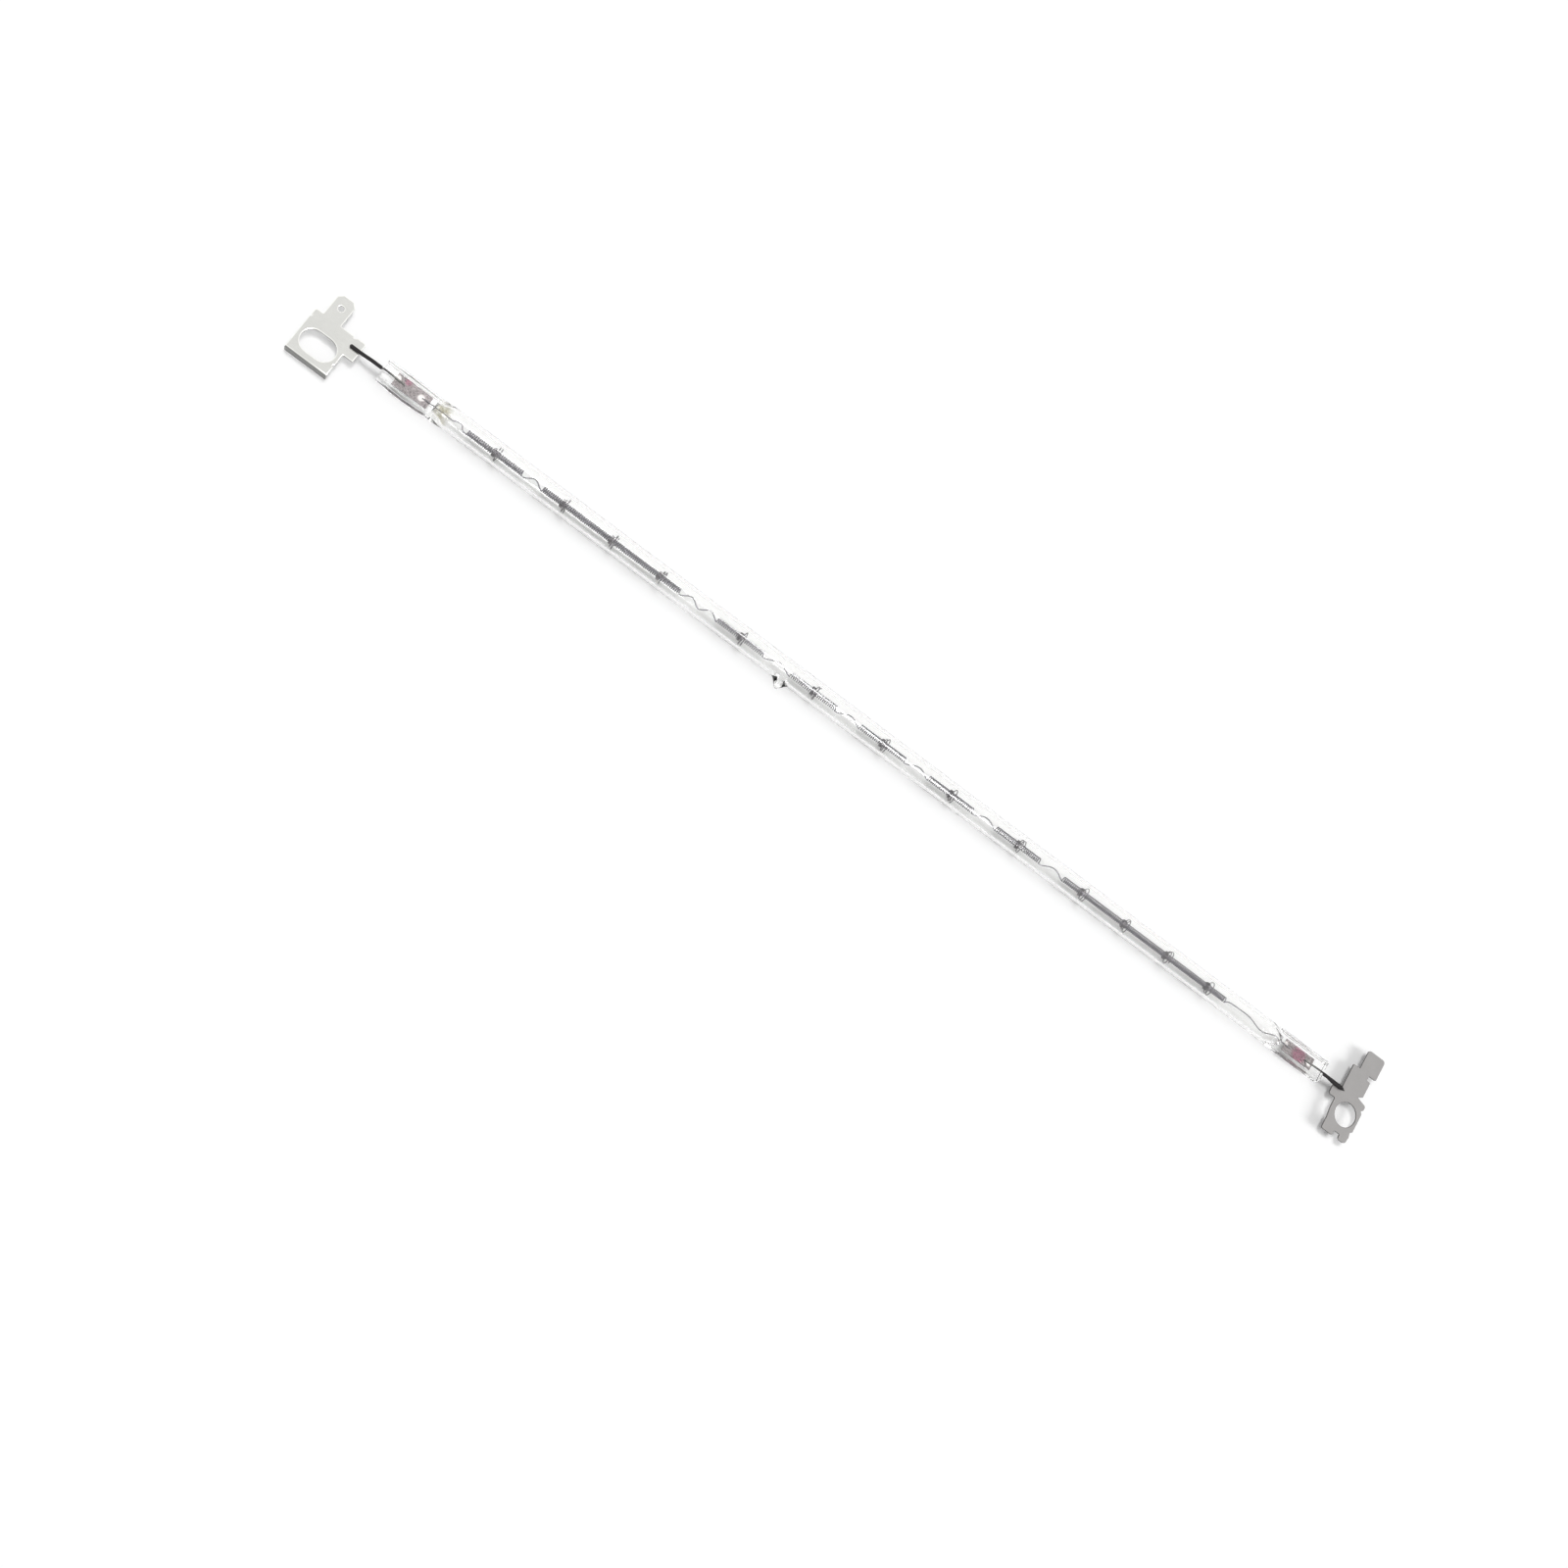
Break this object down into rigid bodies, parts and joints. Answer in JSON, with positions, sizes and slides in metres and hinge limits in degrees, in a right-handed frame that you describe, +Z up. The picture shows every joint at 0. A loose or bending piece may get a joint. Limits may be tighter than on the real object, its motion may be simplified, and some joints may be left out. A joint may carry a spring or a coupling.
{
  "type": "fuser lamp",
  "caption": "Tubular quartz heater lamp with a segmented coiled filament, pinched ends, wire leads and two different stamped spade terminals.",
  "frame": {"origin": "at table height, under the middle of the outline's length and width", "axes": "+X along the tube towards the end whose terminal has a round eye, +Y towards the spade blades, +Z up, away from the table"},
  "size_m": [0.3244, 0.0248, 0.0059],
  "materials": {
    "quartz": "clear fused quartz, fire polished",
    "tungsten": "drawn tungsten wire, dark grey with a bright line along it",
    "support_wire": "drawn tungsten wire, dark grey",
    "foil": "thin molybdenum foil, dull, with a pink tint in patches",
    "lead": "molybdenum rod, oxidised nearly black",
    "bright_nickel": "bright nickel-plated steel sheet",
    "dull_nickel": "dull grey nickel-plated steel sheet"
  },
  "bodies": {
    "root": {"quartz_envelope": "quartz", "filament": "tungsten", "filament_support_01": "support_wire", "filament_support_02": "support_wire", "filament_support_03": "support_wire", "filament_support_04": "support_wire", "filament_support_05": "support_wire", "filament_support_06": "support_wire", "filament_support_07": "support_wire", "filament_support_08": "support_wire", "filament_support_09": "support_wire", "filament_support_10": "support_wire", "filament_support_11": "support_wire", "filament_support_12": "support_wire", "filament_support_13": "support_wire", "seal_foil_left": "foil", "seal_foil_right": "foil", "outer_lead_left": "lead", "outer_lead_right": "lead", "terminal_left": "bright_nickel", "terminal_right": "dull_nickel"}
  },
  "joints": []
}
